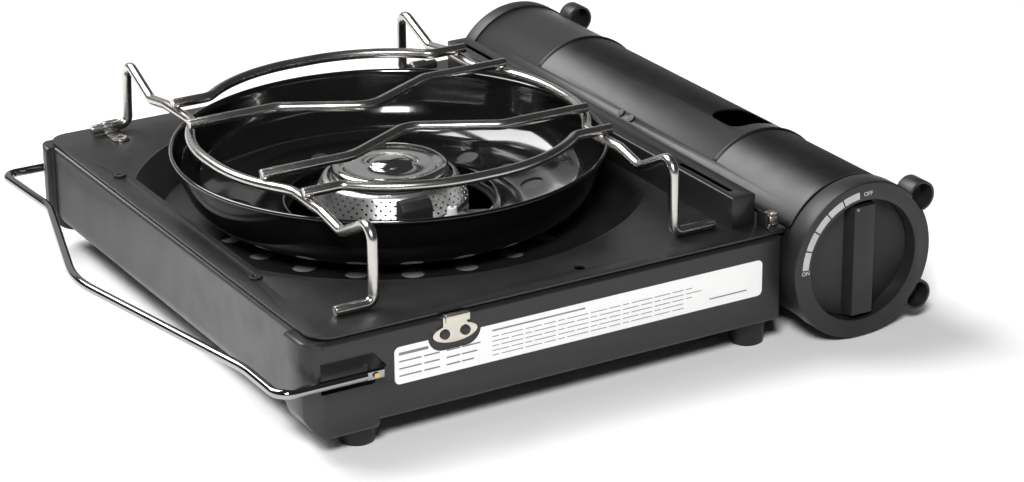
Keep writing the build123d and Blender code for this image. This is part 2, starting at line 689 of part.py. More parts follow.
def trivet_clip(sign):
    """A rolled sheet clip that holds one rear foot and lets it turn, with a round tab for its rivet."""
    y = BURNER_Y + LEG_Y
    x = BURNER_X + sign * CLIP_X
    x0, x1 = x - 4.7, x + 4.7
    clip = rod_x(y, REAR_FOOT_Z, x0, x1, REAR_FOOT_Z - PLATE_TOP)
    clip += block(x0, x1, y - CLIP_TAB_IN, y, PLATE_TOP, PLATE_TOP + 1.2)
    clip += rod_z(x, y - CLIP_TAB_IN, PLATE_TOP, PLATE_TOP + 1.2, CLIP_TAB_R)
    clip -= rod_x(y, REAR_FOOT_Z, x0 - 1, x1 + 1, WIRE_R + RUNNING)
    return clip - rod_z(x, y - CLIP_TAB_IN, PLATE_TOP - 1, PLATE_TOP + 3, 2.5)


def clip_eyelet(sign):
    x = BURNER_X + sign * CLIP_X
    y = BURNER_Y + LEG_Y - CLIP_TAB_IN
    eyelet = rod_z(x, y, PLATE_TOP, PLATE_TOP + 2.0, 2.45) + rod_z(x, y, PLATE_TOP + 1.2, PLATE_TOP + 2.0, 4.6)
    return eyelet - rod_z(x, y, PLATE_TOP - 1, PLATE_TOP + 3, 1.5)


# Handle

HANDLE_PIN_R = 1.0
HANDLE_FLAT = 1.4
HANDLE_TAIL = 4.6


def tilted(part):
    """Turns a part built level at the front pivot's height, so that its rear end stands a little higher."""
    return Pos(0, HANDLE_FRONT, HANDLE_Z) * Rot(HANDLE_TILT, 0, 0) * Pos(0, -HANDLE_FRONT, -HANDLE_Z) * part


def carry_handle():
    """A bail of round wire, bowed outward at the grip, flattened and pierced at each end."""
    end_x, straight_x = HANDLE_PIVOT_X + HANDLE_TAIL, -185.3
    points = [
        (end_x, HANDLE_FRONT), (straight_x, HANDLE_FRONT), (straight_x, -138), (-214.4, 12.7),
        (-184.6, 117), (-188.2, HANDLE_BACK), (end_x, HANDLE_BACK),
    ]
    points = [(x, y, HANDLE_Z) for x, y in points]
    handle = tube_along(FilletPolyline(*points, radius=[9, 80, 75, 40, 7]), HANDLE_WIRE_R)
    x0, x1, z0, z1 = HANDLE_PIVOT_X - 5, end_x + 1, HANDLE_Z - 4, HANDLE_Z + 4
    for y in (HANDLE_FRONT, HANDLE_BACK):
        handle -= block(x0, x1, y - 4, y - HANDLE_FLAT, z0, z1)
        handle -= block(x0, x1, y + HANDLE_FLAT, y + 4, z0, z1)
        handle -= rod_y(HANDLE_PIVOT_X, HANDLE_Z, y - 3, y + 3, HANDLE_PIN_R + RUNNING)
    return tilted(handle)


def handle_rivets():
    """Pins standing on the pocket floors, each with a domed head outside the handle's eye."""
    clear = 0.03
    front_floor = PLATE_FRONT - RIM_OUT + POCKET_DEPTH - clear
    back_floor = PLATE_BACK + RIM_OUT - POCKET_DEPTH + clear
    front_face, back_face = HANDLE_FRONT - 1.6, HANDLE_BACK + 1.6
    front = rod_y(HANDLE_PIVOT_X, HANDLE_Z, front_face, front_floor, HANDLE_PIN_R)
    front += rod_y(HANDLE_PIVOT_X, HANDLE_Z, front_face - 0.8, front_face, 1.6)
    back = rod_y(HANDLE_PIVOT_X, HANDLE_Z, back_floor, back_face, HANDLE_PIN_R)
    back += rod_y(HANDLE_PIVOT_X, HANDLE_Z, back_face, back_face + 0.8, 1.6)
    return Compound(children=[tilted(front), tilted(back)])


# Knob

def knob():
    back = RING_FRONT + 11.5 - 0.4
    disc = rod_y(GAS_X, GAS_Z, back - 3, back, WELL_R - 0.6)
    half = math.sqrt((WELL_R - 1.2) ** 2 - 8 ** 2)
    base = Pos(GAS_X, back - 3, GAS_Z) * Rot(90, 0, 0) * Rectangle(16, 2 * half)
    bar = extrude(base, amount=back - 3 - RING_FRONT, taper=9)
    return disc + bar - rod_y(GAS_X, GAS_Z, back - 8, back + 1, 3.0)


def knob_spindle():
    back = RING_FRONT + 11.5 - 0.4
    return rod_y(GAS_X, GAS_Z, back, -149, 4.0) + rod_y(GAS_X, GAS_Z, back - 7.5, back, 3.0)


def knob_dot():
    return rod_y(GAS_X - 4.6, GAS_Z + 30.2, RING_FRONT - 0.2, RING_FRONT, 0.9)


# Cover and its hinge

LEAF_IN_R = COVER_R - 2.2
BEAD_LINE_R = COVER_R - 0.4
BEAD_R = 1.6
HINGE_X = 118.6
HINGE_Z = PLATE_TOP + 3.3
HINGE_Y = 3.0


def hinge_barrel(y0, y1):
    return rod_y(HINGE_X, HINGE_Z, y0, y1, 3.0) - rod_y(HINGE_X, HINGE_Z, y0 - 1, y1 + 1, 1.6 + RUNNING)


def cover_bead(y):
    """A rounded rib across the cover, which stops short of its edges."""
    arc = ThreePointArc(*[
        (GAS_X + BEAD_LINE_R * math.cos(math.radians(a)), y, GAS_Z + BEAD_LINE_R * math.sin(math.radians(a)))
        for a in (46, 90, 134)
    ])
    profile = Plane(origin=arc @ 0, z_dir=arc % 0) * Circle(BEAD_R)
    rib = sweep(profile, path=arc)
    return rib - rod_y(GAS_X, GAS_Z, y - 5, y + 5, COVER_R - SHEET / 2)


def cartridge_cover():
    cover = sector(
        COVER_R - SHEET, COVER_R, COVER_FRONT, CAP_FRONT - 0.5, COVER_OPEN_RIGHT, COVER_OPEN_LEFT
    )
    for y in (-88, 104):
        cover += cover_bead(y)
    window = Pos(GAS_X + 5.5, -62.5, GAS_Z + 20) * RectangleRounded(30, 29, 8)
    cover -= extrude(window, amount=40)
    cover -= block(HINGE_X, HINGE_X + 20, HINGE_Y - 14.2, HINGE_Y + 14.2, HINGE_Z + 0.7, HINGE_Z + 2.3)
    return cover - cover_rivet_bars(1.5)


def cover_rivet_bars(radius, outer=COVER_R + 2):
    bars = []
    a = math.radians(136)
    for y in (HINGE_Y - 5.5, HINGE_Y + 5.5):
        bar = Pos(outer / 2 + 18, 0, 0) * Rot(0, 90, 0) * Cylinder(radius, outer - 36)
        bars.append(Pos(GAS_X, y, GAS_Z) * Rot(0, -math.degrees(a), 0) * bar)
    return bars[0] + bars[1]


def cover_rivets():
    ring = rod_y(GAS_X, GAS_Z, HINGE_Y - 20, HINGE_Y + 20, COVER_R + 0.9)
    hollow = rod_y(GAS_X, GAS_Z, HINGE_Y - 21, HINGE_Y + 21, COVER_R)
    heads = cover_rivet_bars(2.2) & (ring - hollow)
    shank_zone = hollow - rod_y(GAS_X, GAS_Z, HINGE_Y - 21, HINGE_Y + 21, LEAF_IN_R)
    shanks = cover_rivet_bars(1.45) & shank_zone
    return Compound(children=(heads + shanks).solids())


def cover_hinge_leaf():
    barrel = hinge_barrel(HINGE_Y - 14, HINGE_Y + 14)
    strap = block(HINGE_X, HINGE_X + 11.5, HINGE_Y - 14, HINGE_Y + 14, HINGE_Z + 0.9, HINGE_Z + 2.1)
    strap -= rod_y(HINGE_X, HINGE_Z, HINGE_Y - 20, HINGE_Y + 20, 2.9)
    leaf = sector(LEAF_IN_R, COVER_R - SHEET - 0.02, HINGE_Y - 14, HINGE_Y + 14, 130, 144)
    return barrel + strap + leaf - cover_rivet_bars(1.5)


def base_hinge_leaf():
    """Two barrels on the plate, one each side of the cover's own barrel."""
    group = []
    for y0, y1 in ((HINGE_Y - 30, HINGE_Y - 14.3), (HINGE_Y + 14.3, HINGE_Y + 30)):
        web = block(HINGE_X - 2.9, HINGE_X + 2.9, y0, y1, PLATE_TOP, HINGE_Z)
        leaf = web + rod_y(HINGE_X, HINGE_Z, y0, y1, 3.0)
        group.append(leaf - rod_y(HINGE_X, HINGE_Z, y0 - 1, y1 + 1, 1.6 + RUNNING))
    return Compound(children=group)


def hinge_pin():
    pin = rod_y(HINGE_X, HINGE_Z, HINGE_Y - 31, HINGE_Y + 31, 1.6)
    pin += rod_y(HINGE_X, HINGE_Z, HINGE_Y - 32.5, HINGE_Y - 30.3, 2.6)
    return pin + rod_y(HINGE_X, HINGE_Z, HINGE_Y + 30.3, HINGE_Y + 32.5, 2.6)


PIECES = {
    "casing": casing(),
    "top_plate": top_plate(),
    "plate_skirt": plate_skirt(),
    "recess_wall": recess_wall(),
    "recess_floor": recess_floor(),
    "plate_screws": plate_screws(),
    "rubber_feet": rubber_feet(),
    "foot_screws": foot_screws(),
    "drip_pan_wall": drip_pan_wall(),
    "drip_pan_floor": drip_pan_floor(),
    "burner_body": burner_body(),
    "burner_band": burner_band(),
    "burner_cap": burner_cap(),
    "mixing_tube": mixing_tube(),
    "gas_nozzle": gas_nozzle(),
    "gas_pipe": gas_pipe(),
    "electrode_ceramic": electrode_ceramic(),
    "electrode_wire": electrode_wire(),
    "electrode_bracket": electrode_bracket(),
    "electrode_guard": electrode_guard(),
    "piezo_igniter": piezo_igniter(),
    "igniter_lead": igniter_lead(),
    "cartridge_tray": cartridge_tray(),
    "tray_rivets": tray_rivets(),
    "cartridge_seat": cartridge_seat(),
    "governor": governor(),
    "cartridge_stop": cartridge_stop(),
    "front_ring": front_ring(),
    "rear_cap": rear_cap(),
    "dial_segments": dial_segments(),
    "partition_rail": partition_rail(),
    "earth_bracket": earth_bracket(),
    "bracket_screw": bracket_screw(),
    "label_plate": label_plate(),
    "catch_plate": catch_plate(),
    "catch_rivets": catch_rivets(),
    "trivet_side_left": trivet_side(-1),
    "trivet_side_right": trivet_side(1),
    "trivet_rod_front": bowed_rod(-1),
    "trivet_rod_back": bowed_rod(1),
    "trivet_rod_middle_front": bent_rod(-1),
    "trivet_rod_middle_back": bent_rod(1),
    "trivet_clip_left": trivet_clip(-1),
    "trivet_clip_right": trivet_clip(1),
    "clip_eyelets": Compound(children=[clip_eyelet(-1), clip_eyelet(1)]),
    "carry_handle": carry_handle(),
    "handle_rivets": handle_rivets(),
    "knob": knob(),
    "knob_spindle": knob_spindle(),
    "knob_dot": knob_dot(),
    "cartridge_cover": cartridge_cover(),
    "cover_rivets": cover_rivets(),
    "cover_hinge_leaf": cover_hinge_leaf(),
    "base_hinge_leaf": base_hinge_leaf(),
    "hinge_pin": hinge_pin(),
}

for name, piece in PIECES.items():
    write(piece, name)
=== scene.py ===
import math

import bpy
from mathutils import Matrix, Vector


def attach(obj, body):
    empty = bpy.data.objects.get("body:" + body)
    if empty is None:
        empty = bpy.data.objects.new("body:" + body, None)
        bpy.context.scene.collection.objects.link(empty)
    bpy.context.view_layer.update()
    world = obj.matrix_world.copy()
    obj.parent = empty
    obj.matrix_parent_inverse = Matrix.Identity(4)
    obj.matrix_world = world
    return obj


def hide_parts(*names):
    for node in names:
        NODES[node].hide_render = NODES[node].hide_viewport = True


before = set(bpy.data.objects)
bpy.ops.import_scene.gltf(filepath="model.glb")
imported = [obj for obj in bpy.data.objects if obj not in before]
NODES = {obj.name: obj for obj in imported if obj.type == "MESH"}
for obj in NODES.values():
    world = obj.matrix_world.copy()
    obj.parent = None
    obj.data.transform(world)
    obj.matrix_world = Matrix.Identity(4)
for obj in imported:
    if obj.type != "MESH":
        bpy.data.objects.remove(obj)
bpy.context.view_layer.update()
MM = 0.001

# Camera: place and directions in the stove's own frame
CAMERA_AT = Vector((-0.79222, -1.45103, 0.69852))
CAMERA_RIGHT = Vector((0.861533, -0.507662, -0.006286))
CAMERA_UP = Vector((0.196919, 0.322720, 0.925783))
CAMERA_LENS = 109.97
CAMERA_SHIFT = (-0.0082, 0.0036)

# Places shared by several pieces, in millimetres
BURNER = (-25.0, 3.0)
PAN_BASE = 50.8
DIAL = (163.7, 45.9)
RING_FACE = -188.4
KNOB_FLOOR = -180.3
LABEL_FACE = -175.3

# Pan and burner, in millimetres
PAN_HOLES = 18
PAN_HOLE_CIRCLE = 85
PAN_HOLE_RADIUS = 6.5
BAND_FOOT = 59.2
BAND_RISE = 11.2
PORT_ROWS = 5
PORT_COLUMNS = 96
LIP_RADIUS = 43.75
LIP_THICKNESS = 0.55
LIP_FRONT = -171.7

# Knob scoops, in millimetres
SCOOP_RADIUS = 44.0
SCOOP_CENTRE = 21.4
SCOOP_DEPTH = 1.9
SCOOP_START = 8.6
SCOOP_WIDTH = 8.7 + 12.6


# Materials

class Finish:
    """Builds one procedural finish, node by node."""

    def __init__(self, name, colour, roughness, metallic=0.0, **sockets):
        self.mat = bpy.data.materials.new(name)
        self.mat.use_nodes = True
        self.tree = self.mat.node_tree
        self.shader = self.tree.nodes["Principled BSDF"]
        self.coords = self.tree.nodes.new("ShaderNodeTexCoord")
        self.shader.inputs["Base Color"].default_value = (*colour, 1)
        self.shader.inputs["Roughness"].default_value = roughness
        self.shader.inputs["Metallic"].default_value = metallic
        for socket, value in sockets.items():
            self.shader.inputs[socket.replace("_", " ")].default_value = value

    def link(self, a, b):
        self.tree.links.new(a, b)

    def place(self, stretch=(1, 1, 1)):
        """Object coordinates, optionally stretched along an axis."""
        mapping = self.tree.nodes.new("ShaderNodeMapping")
        mapping.inputs["Scale"].default_value = stretch
        self.link(self.coords.outputs["Object"], mapping.inputs["Vector"])
        return mapping.outputs["Vector"]

    def noise(self, scale, detail=2.0, stretch=(1, 1, 1), rough=0.5):
        node = self.tree.nodes.new("ShaderNodeTexNoise")
        node.inputs["Scale"].default_value = scale
        node.inputs["Detail"].default_value = detail
        node.inputs["Roughness"].default_value = rough
        self.link(self.place(stretch), node.inputs["Vector"])
        return node.outputs["Fac"]

    def span(self, value, low, high, start=0.3, end=0.7):
        """Maps a noise value to a range of numbers."""
        node = self.tree.nodes.new("ShaderNodeMapRange")
        node.inputs["From Min"].default_value = start
        node.inputs["From Max"].default_value = end
        node.inputs["To Min"].default_value = low
        node.inputs["To Max"].default_value = high
        self.link(value, node.inputs["Value"])
        return node.outputs["Result"]

    def add(self, first, second):
        """Sums two values."""
        node = self.tree.nodes.new("ShaderNodeMath")
        self.link(first, node.inputs[0])
        self.link(second, node.inputs[1])
        return node.outputs["Value"]

    def roughness(self, value):
        self.link(value, self.shader.inputs["Roughness"])

    def colours(self, value, first, second):
        node = self.tree.nodes.new("ShaderNodeMix")
        node.data_type = "RGBA"
        node.inputs["A"].default_value = (*first, 1)
        node.inputs["B"].default_value = (*second, 1)
        self.link(value, node.inputs["Factor"])
        self.link(node.outputs["Result"], self.shader.inputs["Base Color"])

    def bump(self, value, strength, depth):
        node = self.tree.nodes.new("ShaderNodeBump")
        node.inputs["Strength"].default_value = strength
        node.inputs["Distance"].default_value = depth
        self.link(value, node.inputs["Height"])
        previous = self.shader.inputs["Normal"].links
        if previous:
            self.link(previous[0].from_socket, node.inputs["Normal"])
        self.link(node.outputs["Normal"], self.shader.inputs["Normal"])


def darker(colour, share):
    return tuple(c * share for c in colour)


def satin_coat(name, colour=(0.0125, 0.012, 0.0122), low=0.34, high=0.42):
    """Baked satin paint: fine orange peel, faint rubbed patches and a few dull specks of dust."""
    f = Finish(name, colour, 0.4)
    rubbed = f.span(f.noise(9, 5, rough=0.62), -0.01, 0.02, 0.42, 0.66)
    f.roughness(f.add(f.span(f.noise(60, 3), low, high), rubbed))
    f.colours(f.span(f.noise(240, 4, rough=0.7), 0, 1, 0.5, 0.8), colour, darker(colour, 1.4))
    f.bump(f.noise(1500, 1), 0.1, 0.00005)
    return f.mat


def bright_metal(name, colour, low, high, grain=0.05, stretch=(1, 1, 1)):
    """Bare or plated metal with faint handling marks and soft unevenness."""
    f = Finish(name, colour, 0.2, metallic=1.0)
    marks = f.span(f.noise(420, 3, stretch, rough=0.7), 0, 0.06, 0.56, 0.8)
    f.roughness(f.add(f.span(f.noise(45, 3), low, high), marks))
    f.colours(f.span(f.noise(30, 3), 0, 1), colour, darker(colour, 0.86))
    f.bump(f.noise(700, 2, stretch), grain, 0.00003)
    return f.mat


def moulded(name, colour, low, high, grain=0.2, worn=0.84):
    """Moulded plastic, rubber or print with a fine grain."""
    f = Finish(name, colour, 0.5)
    rubbed = f.span(f.noise(14, 4, rough=0.6), -0.02, 0.06, 0.42, 0.68)
    f.roughness(f.add(f.span(f.noise(90, 3), low, high), rubbed))
    f.colours(f.span(f.noise(130, 3), 0, 1), colour, darker(colour, worn))
    f.bump(f.noise(2600, 1), grain, 0.00005)
    return f.mat


def enamel(name):
    """Glossy black vitreous enamel, a little wavy, with dull dust in places."""
    f = Finish(name, (0.004, 0.004, 0.0045), 0.08, Coat_Weight=0.7, Coat_Roughness=0.04)
    f.roughness(f.span(f.noise(70, 4, rough=0.6), 0.07, 0.16))
    dust = f.span(f.noise(320, 3, rough=0.7), 0, 1, 0.58, 0.8)
    f.colours(dust, (0.004, 0.004, 0.0045), (0.011, 0.011, 0.011))
    f.bump(f.noise(60, 2), 0.06, 0.0003)
    return f.mat


FINISHES = {
    "black_coat": satin_coat("satin_black_coat"),
    "black_steel": satin_coat("black_pressed_steel"),
    "rubber_black": moulded("foot_rubber", (0.008, 0.008, 0.008), 0.5, 0.62),
    "zinc_steel": bright_metal("zinc_plate", (0.55, 0.55, 0.54), 0.22, 0.36),
    "black_enamel": enamel("black_enamel"),
    "cast_metal": bright_metal("cast_metal", (0.35, 0.35, 0.35), 0.4, 0.55, 0.4),
    "bright_steel": bright_metal("bright_steel", (0.62, 0.61, 0.6), 0.07, 0.13),
    "pressed_steel": bright_metal("pressed_steel", (0.5, 0.5, 0.49), 0.25, 0.4),
    "brass_metal": bright_metal("brass", (0.65, 0.47, 0.2), 0.2, 0.3),
    "aluminium_pipe": bright_metal("aluminium_pipe", (0.6, 0.6, 0.6), 0.25, 0.35),
    "white_ceramic": moulded("white_ceramic", (0.8, 0.79, 0.76), 0.26, 0.36, 0.08),
    "dark_steel": satin_coat("dark_steel", (0.02, 0.019, 0.018), 0.36, 0.46),
    "black_plastic": moulded("charcoal_plastic", (0.0125, 0.013, 0.0135), 0.42, 0.48),
    "lead_jacket": moulded("lead_jacket", (0.02, 0.02, 0.02), 0.4, 0.5),
    "silver_print": moulded("silver_print", (0.5, 0.5, 0.5), 0.4, 0.5, 0.1),
    "nickel_plate": bright_metal("nickel_plate", (0.68, 0.64, 0.56), 0.2, 0.3),
    "white_label": moulded("white_label", (0.87, 0.87, 0.86), 0.46, 0.5, 0.05, 0.97),
    "stainless_wire": bright_metal("stainless_wire", (0.56, 0.545, 0.52), 0.2, 0.27, 0.03),
    # The chrome wire's colour is darker than bright chrome: painted shade standing in for the dark
    # surroundings it reflects.
    "chrome_wire": bright_metal("chrome_wire", (0.36, 0.36, 0.37), 0.03, 0.06, 0.01),
}
GREY_PRINT = moulded("grey_print", (0.2, 0.2, 0.2), 0.42, 0.52, 0.05)
# Heat-shield greys: the pan ring's dull grey is partly a guessed real shield and partly painted light;
# the vent ring's lighter grey is painted light, standing in for light from below seen through the vents.
FINISHES["dull_shield"] = moulded("heat_shield_painted_light", (0.05, 0.049, 0.048), 0.5, 0.62, 0.1)
VENT_PAINTED_LIGHT = moulded("vent_shield_painted_light", (0.3, 0.295, 0.29), 0.5, 0.62, 0.1)
COVER_COAT = satin_coat("cover_coat", (0.0055, 0.0053, 0.0054), 0.36, 0.42)
BAND_STEEL = bright_metal("flame_band_steel", (0.8, 0.79, 0.78), 0.26, 0.36, 0.2)


def finish_nodes():
    """Gives each CAD node the procedural finish of its slot in the record."""
    for obj in NODES.values():
        for slot in obj.material_slots:
            slot.material = FINISHES[slot.material.name.split(".")[0]]
    NODES["knob_dot"].material_slots[0].material = GREY_PRINT


finish_nodes()


# Modelling helpers

def only(obj):
    bpy.ops.object.select_all(action="DESELECT")
    obj.select_set(True)
    bpy.context.view_layer.objects.active = obj


def edit(obj):
    """Opens a piece for editing, with nothing selected."""
    only(obj)
    bpy.ops.object.mode_set(mode="EDIT")
    bpy.ops.mesh.select_mode(type="FACE")
    bpy.ops.mesh.select_all(action="DESELECT")


def leave():
    bpy.ops.object.mode_set(mode="OBJECT")


def settle(obj):
    """Freezes a piece's place, turn and size into its mesh."""
    only(obj)
    bpy.ops.object.transform_apply(location=True, rotation=True, scale=True)


def modify(obj, kind, **settings):
    """Adds one modifier, sets it and applies it."""
    only(obj)
    modifier = obj.modifiers.new(kind.lower(), kind)
    for name, value in settings.items():
        setattr(modifier, name, value)
    bpy.ops.object.modifier_apply(modifier=modifier.name)


def ease_edges(obj, width, segments=2, angle=32):
    """Rounds the sharp edges by a small radius, in millimetres, and shades the piece smooth."""
    modify(
        obj, "BEVEL", width=width * MM, segments=segments, limit_method="ANGLE",
        angle_limit=math.radians(angle), harden_normals=False, use_clamp_overlap=True,
        miter_outer="MITER_ARC",
    )
    only(obj)
    bpy.ops.object.shade_smooth_by_angle(angle=math.radians(angle))


def recalculate(obj):
    edit(obj)
    bpy.ops.mesh.select_all(action="SELECT")
    bpy.ops.mesh.normals_make_consistent(inside=False)
    leave()


def take_up(obj, finish, body, *nodes):
    """Paints a finished piece, hangs it on its body and lets it stand for its CAD nodes."""
    obj.data.materials.clear()
    obj.data.materials.append(FINISHES[finish])
    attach(obj, body)
    if nodes:
        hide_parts(*nodes)
    return obj


def repaint(obj, material):
    """Gives a finished piece a look of its own; its slot stays as it is."""
    obj.data.materials.clear()
    obj.data.materials.append(material)


def copy_of(node, name):
    """A welded copy of a CAD node, with flat faces made whole again."""
    only(NODES[node])
    copy = NODES[node].copy()
    copy.data = NODES[node].data.copy()
    copy.name = name
    for key in list(copy.keys()):
        if key.startswith("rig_"):
            del copy[key]
    bpy.context.scene.collection.objects.link(copy)
    place = NODES[node].matrix_world.copy()
    copy.parent = None
    copy.matrix_world = place
    settle(copy)
    edit(copy)
    bpy.ops.mesh.select_all(action="SELECT")
    bpy.ops.mesh.remove_doubles(threshold=0.000004)
    bpy.ops.mesh.normals_make_consistent(inside=False)
    bpy.ops.mesh.dissolve_limited(angle_limit=math.radians(0.3))
    leave()
    if copy.data.has_custom_normals:
        bpy.ops.mesh.customdata_custom_splitnormals_clear()
    return copy


def smooth_step(p, q, r, s, t):
    """The value at t, from 0 to 1, on a Catmull-Rom curve between q and r."""
    first = 2 * q + (r - p) * t
    second = (2 * p - 5 * q + 4 * r - s) * t ** 2
    third = (3 * q - p - 3 * r + s) * t ** 3
    return 0.5 * (first + second + third)


def smooth_line(points, steps):
    """A smooth run of (radius, height) points through the given ones."""
    ends = [points[0], *points, points[-1]]
    line = []
    for a, b, c, d in zip(ends, ends[1:], ends[2:], ends[3:]):
        for k in range(steps):
            t = k / steps
            line.append(tuple(smooth_step(p, q, r, s, t) for p, q, r, s in zip(a, b, c, d)))
    return line + [points[-1]]


def lathe(name, rings, segments, at=(0, 0, 0), turn=(0, 0, 0)):
    """Turns a piece by drawing a circle out ring by ring, each (radius, height) in millimetres."""
    radius, height = rings[0]
    bpy.ops.object.select_all(action="DESELECT")
    bpy.ops.mesh.primitive_circle_add(vertices=segments, radius=radius * MM, fill_type="NOTHING")
    obj = bpy.context.object
    obj.name = name
    bpy.ops.object.mode_set(mode="EDIT")
    bpy.ops.mesh.select_mode(type="VERT")
    bpy.ops.mesh.select_all(action="SELECT")
    bpy.ops.transform.translate(value=(0, 0, height * MM))
    for next_radius, next_height in rings[1:]:
        rise = (next_height - height) * MM
        bpy.ops.mesh.extrude_region_move(TRANSFORM_OT_translate={"value": (0, 0, rise)})
        share = next_radius / radius
        bpy.ops.transform.resize(value=(share, share, 1), center_override=(0, 0, 0))
        radius, height = next_radius, next_height
    leave()
    obj.location = Vector(at) * MM
    obj.rotation_euler = turn
    settle(obj)
    return obj


def gather(obj, at, reach):
    """Draws the points that lie within reach of a place, in millimetres, into one."""
    edit(obj)
    bpy.ops.mesh.select_mode(type="VERT")
    leave()
    centre = Vector(at) * MM
    for point in obj.data.vertices:
        point.select = (point.co - centre).length < reach * MM
    bpy.ops.object.mode_set(mode="EDIT")
    bpy.ops.mesh.merge(type="CENTER")
    leave()


def cut(obj, cutter, operation="DIFFERENCE"):
    """Takes the cutter's shape out of a piece, then throws the cutter away."""
    modify(obj, "BOOLEAN", operation=operation, object=cutter, solver="EXACT")
    bpy.data.objects.remove(cutter, do_unlink=True)


def join(pieces, name):
    """Joins several loose pieces into one."""
    bpy.ops.object.select_all(action="DESELECT")
    for piece in pieces:
        piece.select_set(True)
    bpy.context.view_layer.objects.active = pieces[0]
    bpy.ops.object.join()
    pieces[0].name = name
    return pieces[0]


# Pan and burner

def drip_pan():
    """The enamelled pan: one pressed sheet with a rolled rim, a raised collar and eighteen holes."""
    line = smooth_line([
        (60.2, 58.2), (60.4, 54.0), (62.0, PAN_BASE + 0.9), (70.0, PAN_BASE + 0.6),
        (77.0, PAN_BASE + 0.9), (92.0, 55.4), (102.0, 58.6), (110.0, 64.0), (114.6, 70.5),
        (117.6, 79.0), (119.6, 86.0), (120.8, 90.4), (121.8, 91.6), (122.5, 90.8), (122.1, 89.6),
    ], 4)
    pan = lathe("drip_pan", line, 160, (*BURNER, 0))
    modify(pan, "SOLIDIFY", thickness=0.9 * MM, offset=0)
    recalculate(pan)
    drills = []
    for k in range(PAN_HOLES):
        a = math.radians(10 + 20 * k)
        x = BURNER[0] + PAN_HOLE_CIRCLE * math.cos(a)
        y = BURNER[1] + PAN_HOLE_CIRCLE * math.sin(a)
        bpy.ops.object.select_all(action="DESELECT")
        bpy.ops.mesh.primitive_cylinder_add(
            vertices=40, radius=PAN_HOLE_RADIUS * MM, depth=16 * MM, location=Vector((x, y, 52)) * MM)
        drills.append(bpy.context.object)
    drill = join(drills, "drill")
    settle(drill)
    cut(pan, drill)
    only(pan)
    bpy.ops.object.shade_smooth_by_angle(angle=math.radians(40))
    take_up(pan, "black_enamel", "stove_body", "drip_pan_wall", "drip_pan_floor")


def flame_band():
    """The bright cone under the cap, with five rows of small round flame ports."""
    rings = [(43.6, 55.6), (43.4, 58.6)]
    for k in range(PORT_ROWS + 1):
        share = k / PORT_ROWS
        rings.append((43.2 - 5.2 * share, BAND_FOOT + BAND_RISE * share))
    rings += [(37.2, 71.2), (35.3, 72.0)]
    band = lathe("flame_band", rings, PORT_COLUMNS, (*BURNER, 0))
    edit(band)
    leave()
    for face in band.data.polygons:
        out = face.center - Vector((*BURNER, 0)) * MM
        rise = face.center.z / MM - BAND_FOOT
        row = int(rise / (BAND_RISE / PORT_ROWS)) if rise > 0 else -1
        turn = math.degrees(math.atan2(out.y, out.x))
        column = int(round(turn * PORT_COLUMNS / 360 + PORT_COLUMNS - 0.5))
        face.select = 0 <= row < PORT_ROWS and (column + row) % 2 == 0 and rise < BAND_RISE
    bpy.ops.object.mode_set(mode="EDIT")
    bpy.ops.mesh.inset(thickness=0.42 * MM, use_individual=True)
    bpy.ops.mesh.inset(thickness=0.12 * MM, use_individual=True)
    bpy.ops.mesh.delete(type="FACE")
    leave()
    modify(band, "SOLIDIFY", thickness=0.7 * MM, offset=-1)
    modify(band, "SUBSURF", levels=1, render_levels=1)
    recalculate(band)
    only(band)
    bpy.ops.object.shade_smooth_by_angle(angle=math.radians(50))
    take_up(band, "bright_steel", "stove_body", "burner_band")
    repaint(band, BAND_STEEL)


def flame_cap():
    """The bright cap over the flame ring: rolled rim, dished ring and a small dome."""
    line = smooth_line([
        (28.0, 71.5), (31.0, 71.9), (32.3, 73.2), (32.5, 75.6), (31.8, 77.3), (29.8, 78.0),
        (27.6, 77.4), (25.2, 76.5), (20.0, 76.2), (14.6, 76.6), (12.0, 77.6), (10.6, 78.9),
        (8.4, 80.1), (5.0, 80.7), (2.0, 80.9), (0.4, 80.9),
    ], 4)
    cap = lathe("flame_cap", line, 128, (*BURNER, 0))
    gather(cap, (*BURNER, 80.9), 0.5)
    modify(cap, "SOLIDIFY", thickness=0.8 * MM, offset=-1)
    recalculate(cap)
    only(cap)
    bpy.ops.object.shade_smooth_by_angle(angle=math.radians(50))
    take_up(cap, "bright_steel", "stove_body", "burner_cap")


def heat_shields():
    """Two thin grey rings, close under the pan's holes and close under the vents of the recess; their
    grey is painted light seen through the holes, lightest under the vents.
    """
    under_pan = [(78.0, PAN_BASE + 0.3), (85.0, 52.4), (92.0, 54.3), (94.0, 54.9)]
    under_vents = [(88.6, 49.2), (94.0, 49.1), (100.0, 49.1), (105.5, 49.2)]
    for name, line in (("pan_heat_shield", under_pan), ("vent_heat_shield", under_vents)):
        ring = lathe(name, smooth_line(line, 3), 120, (*BURNER, 0))
        modify(ring, "SOLIDIFY", thickness=0.3 * MM, offset=0)
        recalculate(ring)
        only(ring)
        bpy.ops.object.shade_smooth_by_angle(angle=math.radians(40))
        take_up(ring, "dull_shield", "stove_body")
        # The vent ring gets a lighter grey: painted light seen through the vents.
        if name == "vent_heat_shield":
            repaint(ring, VENT_PAINTED_LIGHT)


